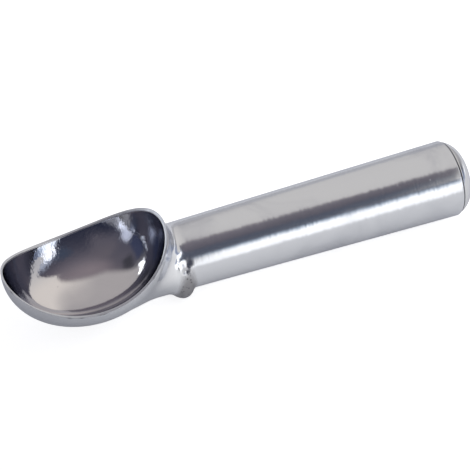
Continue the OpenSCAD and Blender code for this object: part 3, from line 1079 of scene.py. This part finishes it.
for slant, start, end in FRONT_BORDERS:
    border = ramp_node(tree, plus_share(tree, sheet_y, sheet_x, slant), start, end)
    border = math_node(tree, "MAXIMUM", border, open_right)
    sheet_mask = math_node(tree, "MULTIPLY", sheet_mask, border)
warm_side = ramp_node(tree, plus_share(tree, sheet_x, sheet_y, WARM_SLANT), *WARM_EDGE)
finish_glow(tree, sheet_mask, mix_colour(tree, warm_side, SHEET_DIM, SHEET_WARM), 1.0)
print("Sheet hangs", SHEET_Z, "m up")

# %% Front panel
PANEL_Y, PANEL_LEFT, PANEL_RIGHT, PANEL_TOP = -0.22, 0.007, 0.21, 0.161
PANEL_SLANT, LEFT_SOFT, RIGHT_SOFT, TOP_SOFT = -0.2, 0.012, 0.04, 0.08
FOOT_EDGE, BLUE_DEPTH = (-0.045, 0.04), 0.07
PANEL_BLUE, PANEL_WHITE, PANEL_STRENGTH = (0.42, 0.68, 1.0), (1.0, 1.0, 1.0), 1.55
tree, place = glowing_sheet("front_panel", [
    (PANEL_LEFT, PANEL_Y, 0.0), (PANEL_RIGHT, PANEL_Y, 0.0),
    (PANEL_RIGHT, PANEL_Y, PANEL_TOP), (PANEL_LEFT, PANEL_Y, PANEL_TOP),
])
panel_place = place_parts(tree, place)
panel_x, panel_z = panel_place["X"], panel_place["Z"]
left_edge = plus_share(tree, panel_x, panel_z, PANEL_SLANT)
panel_mask = ramp_node(tree, left_edge, PANEL_LEFT, PANEL_LEFT + LEFT_SOFT)
for value, start, end in (
    (panel_x, PANEL_RIGHT, PANEL_RIGHT - RIGHT_SOFT),
    (panel_z, PANEL_TOP, PANEL_TOP - TOP_SOFT),
    (panel_z, *FOOT_EDGE),
):
    panel_mask = math_node(tree, "MULTIPLY", panel_mask, ramp_node(tree, value, start, end))
below_top = ramp_node(tree, panel_z, PANEL_TOP, PANEL_TOP - BLUE_DEPTH)
panel_colour = mix_colour(tree, below_top, PANEL_BLUE, PANEL_WHITE)
finish_glow(tree, panel_mask, panel_colour, PANEL_STRENGTH)
print("Panel stands", -PANEL_Y, "m in front")

# %% [markdown]
# ## Studio
# A polished metal shows the room that it is in. The room is drawn as light by
# direction: a pale back wall, a dim front where the camera stands, and soft
# windows, some brighter and some darker than the wall they are in. A window is
# a soft rectangle in azimuth, from +Y toward +X, and elevation. Everything
# that isn't polished metal sees an even white dome, which is the plainest
# studio light.

# %% Window group
studio_window, given, wanted = start_group(
    "studio_window",
    [("Azimuth", FLOAT, 0.0), ("Elevation", FLOAT, 0.0), ("Middle Azimuth", FLOAT, 0.0),
     ("Middle Elevation", FLOAT, 0.0), ("Half Width", FLOAT, 0.2), ("Half Height", FLOAT, 0.2),
     ("Softness", FLOAT, 0.05)],
    [("Mask", FLOAT)],
)
turned_off = math_node(studio_window, "SUBTRACT", given["Azimuth"], given["Middle Azimuth"])
turned_off = math_node(studio_window, "WRAP", turned_off, math.pi, -math.pi)
raised = math_node(studio_window, "SUBTRACT", given["Elevation"], given["Middle Elevation"])
sides = []
for offset, half in ((turned_off, given["Half Width"]), (raised, given["Half Height"])):
    sides.append(ramp_node(
        studio_window, math_node(studio_window, "ABSOLUTE", offset),
        math_node(studio_window, "ADD", half, given["Softness"]),
        math_node(studio_window, "SUBTRACT", half, given["Softness"]),
    ))
feed(studio_window, wanted["Mask"], math_node(studio_window, "MULTIPLY", *sides))
print("Group:", studio_window.name)

# %% Walls of the room
FRONT_LOW, FRONT_HIGH = (0.029, 0.034, 0.060), (0.250, 0.220, 0.250)
FRONT_RISE = (math.radians(10.0), math.radians(100.0))
BACK_WALL, BACK_WAY, BACK_EDGE = (0.47, 0.46, 0.47), (0.342, 0.940, 0.0), (0.04, 0.75)
world = bpy.data.worlds.new("studio")
world.use_nodes = True
scene.world = world
tree = world.node_tree
direction = add_node(tree, "ShaderNodeTexCoord").outputs["Generated"]
parts = place_parts(tree, direction)
azimuth = math_node(tree, "ARCTAN2", parts["X"], parts["Y"])
elevation = math_node(tree, "ARCSINE", parts["Z"])
front = mix_colour(tree, ramp_node(tree, elevation, *FRONT_RISE), FRONT_LOW, FRONT_HIGH)
to_back = vector_node(tree, "DOT_PRODUCT", direction, BACK_WAY)["Value"]
room = mix_colour(tree, ramp_node(tree, to_back, *BACK_EDGE), front, BACK_WALL)
print("World:", world.name)

# %% Windows of the room
# Middle azimuth and elevation, half width and height and softness in degrees, then colour
WINDOWS = {
    "left_wall": ((265.0, 35.0, 38.0, 22.0, 14.0), (0.115, 0.11, 0.14)),
    "dark_corner": ((297.0, 36.0, 13.0, 9.0, 6.0), (0.055, 0.055, 0.07)),
    "low_left_dark": ((284.0, 12.0, 16.0, 9.0, 5.0), (0.06, 0.07, 0.125)),
    "back_glow": ((17.0, 13.0, 15.0, 11.0, 6.0), (0.56, 0.555, 0.575)),
    "right_wall": ((106.0, -4.0, 32.0, 10.0, 5.0), (1.35, 1.37, 1.42)),
    "low_glow": ((226.0, 2.0, 13.0, 6.0, 4.0), (0.31, 0.31, 0.34)),
    "left_window_low": ((250.0, 1.0, 12.0, 9.0, 6.0), (1.75, 1.80, 1.98)),
    "left_window_high": ((255.0, 12.0, 8.0, 9.0, 6.0), (0.82, 0.86, 1.0)),
    "front_fill": ((222.0, 42.0, 24.0, 18.0, 12.0), (0.155, 0.140, 0.165)),
    "blue_streak": ((122.0, 17.0, 26.0, 16.0, 7.0), (0.24, 0.28, 0.39)),
    "blue_tail": ((134.0, 31.0, 14.0, 8.0, 6.0), (0.52, 0.56, 0.67)),
    "right_streak": ((117.0, 24.0, 7.0, 6.0, 4.0), (0.70, 0.77, 0.92)),
    "white_streak_low": ((147.0, 15.0, 8.0, 8.0, 4.0), (2.4, 2.42, 2.45)),
    "white_streak_high": ((142.0, 28.0, 8.5, 7.0, 4.0), (2.1, 2.12, 2.15)),
    "blue_fringe": ((156.0, 40.0, 11.0, 7.0, 6.0), (0.075, 0.092, 0.135)),
    "bright_window": ((319.0, 10.5, 8.0, 6.0, 2.0), (2.6, 2.7, 2.8)),
}
for degrees, colour in WINDOWS.values():
    middle_az, middle_el, half_width, half_height, softness = map(math.radians, degrees)
    window_mask = use_group(
        tree, studio_window, Azimuth=azimuth, Elevation=elevation,
        Middle_Azimuth=middle_az, Middle_Elevation=middle_el,
        Half_Width=half_width, Half_Height=half_height, Softness=softness,
    )["Mask"]
    room = mix_colour(tree, window_mask, room, colour)
print("Windows:", ", ".join(WINDOWS))

# %% Dome for all that isn't polished
DOME_WHITE = (1.0, 1.0, 1.0)
polished = add_node(tree, "ShaderNodeLightPath").outputs["Is Glossy Ray"]
fill(tree, tree.nodes["Background"], Color=mix_colour(tree, polished, DOME_WHITE, room))
print("Room linked to", tree.nodes["Background"].name)
